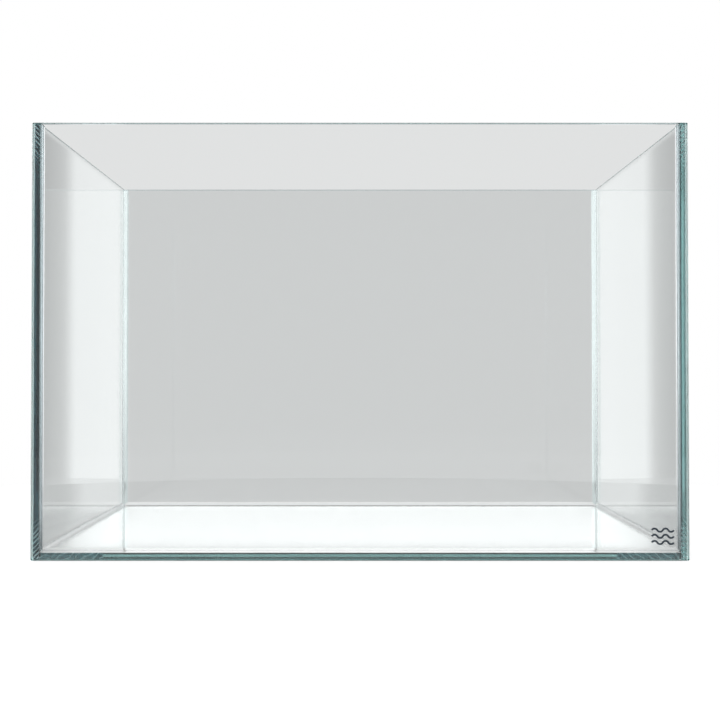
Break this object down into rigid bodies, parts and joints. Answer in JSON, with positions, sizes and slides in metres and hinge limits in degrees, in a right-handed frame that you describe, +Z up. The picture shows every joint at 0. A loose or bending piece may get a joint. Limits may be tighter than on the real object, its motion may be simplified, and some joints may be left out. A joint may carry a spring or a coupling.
{
  "type": "rimless glass aquarium",
  "caption": "Open-top rimless rectangular fish tank of low-iron glass panes joined edge to face with clear silicone.",
  "frame": {"origin": "middle of the underside, on the surface that the tank stands on", "axes": "+Z up, +X to the right along the width, -Y towards the viewer at the front pane"},
  "size_m": [0.45, 0.2701, 0.3],
  "materials": {
    "low_iron_glass": "polished float glass with ground, teal-looking edges",
    "clear_silicone": "translucent, smooth tooled silicone",
    "mark_ink": "thin matt printed ink"
  },
  "bodies": {
    "root": {"front_pane": "low_iron_glass", "back_pane": "low_iron_glass", "left_pane": "low_iron_glass", "right_pane": "low_iron_glass", "bottom_pane": "low_iron_glass", "front_left_bond": "clear_silicone", "front_right_bond": "clear_silicone", "back_left_bond": "clear_silicone", "back_right_bond": "clear_silicone", "front_floor_bond": "clear_silicone", "back_floor_bond": "clear_silicone", "left_floor_bond": "clear_silicone", "right_floor_bond": "clear_silicone", "front_left_bead": "clear_silicone", "front_right_bead": "clear_silicone", "back_left_bead": "clear_silicone", "back_right_bead": "clear_silicone", "front_floor_bead": "clear_silicone", "back_floor_bead": "clear_silicone", "left_floor_bead": "clear_silicone", "right_floor_bead": "clear_silicone", "maker_mark": "mark_ink"}
  },
  "joints": []
}
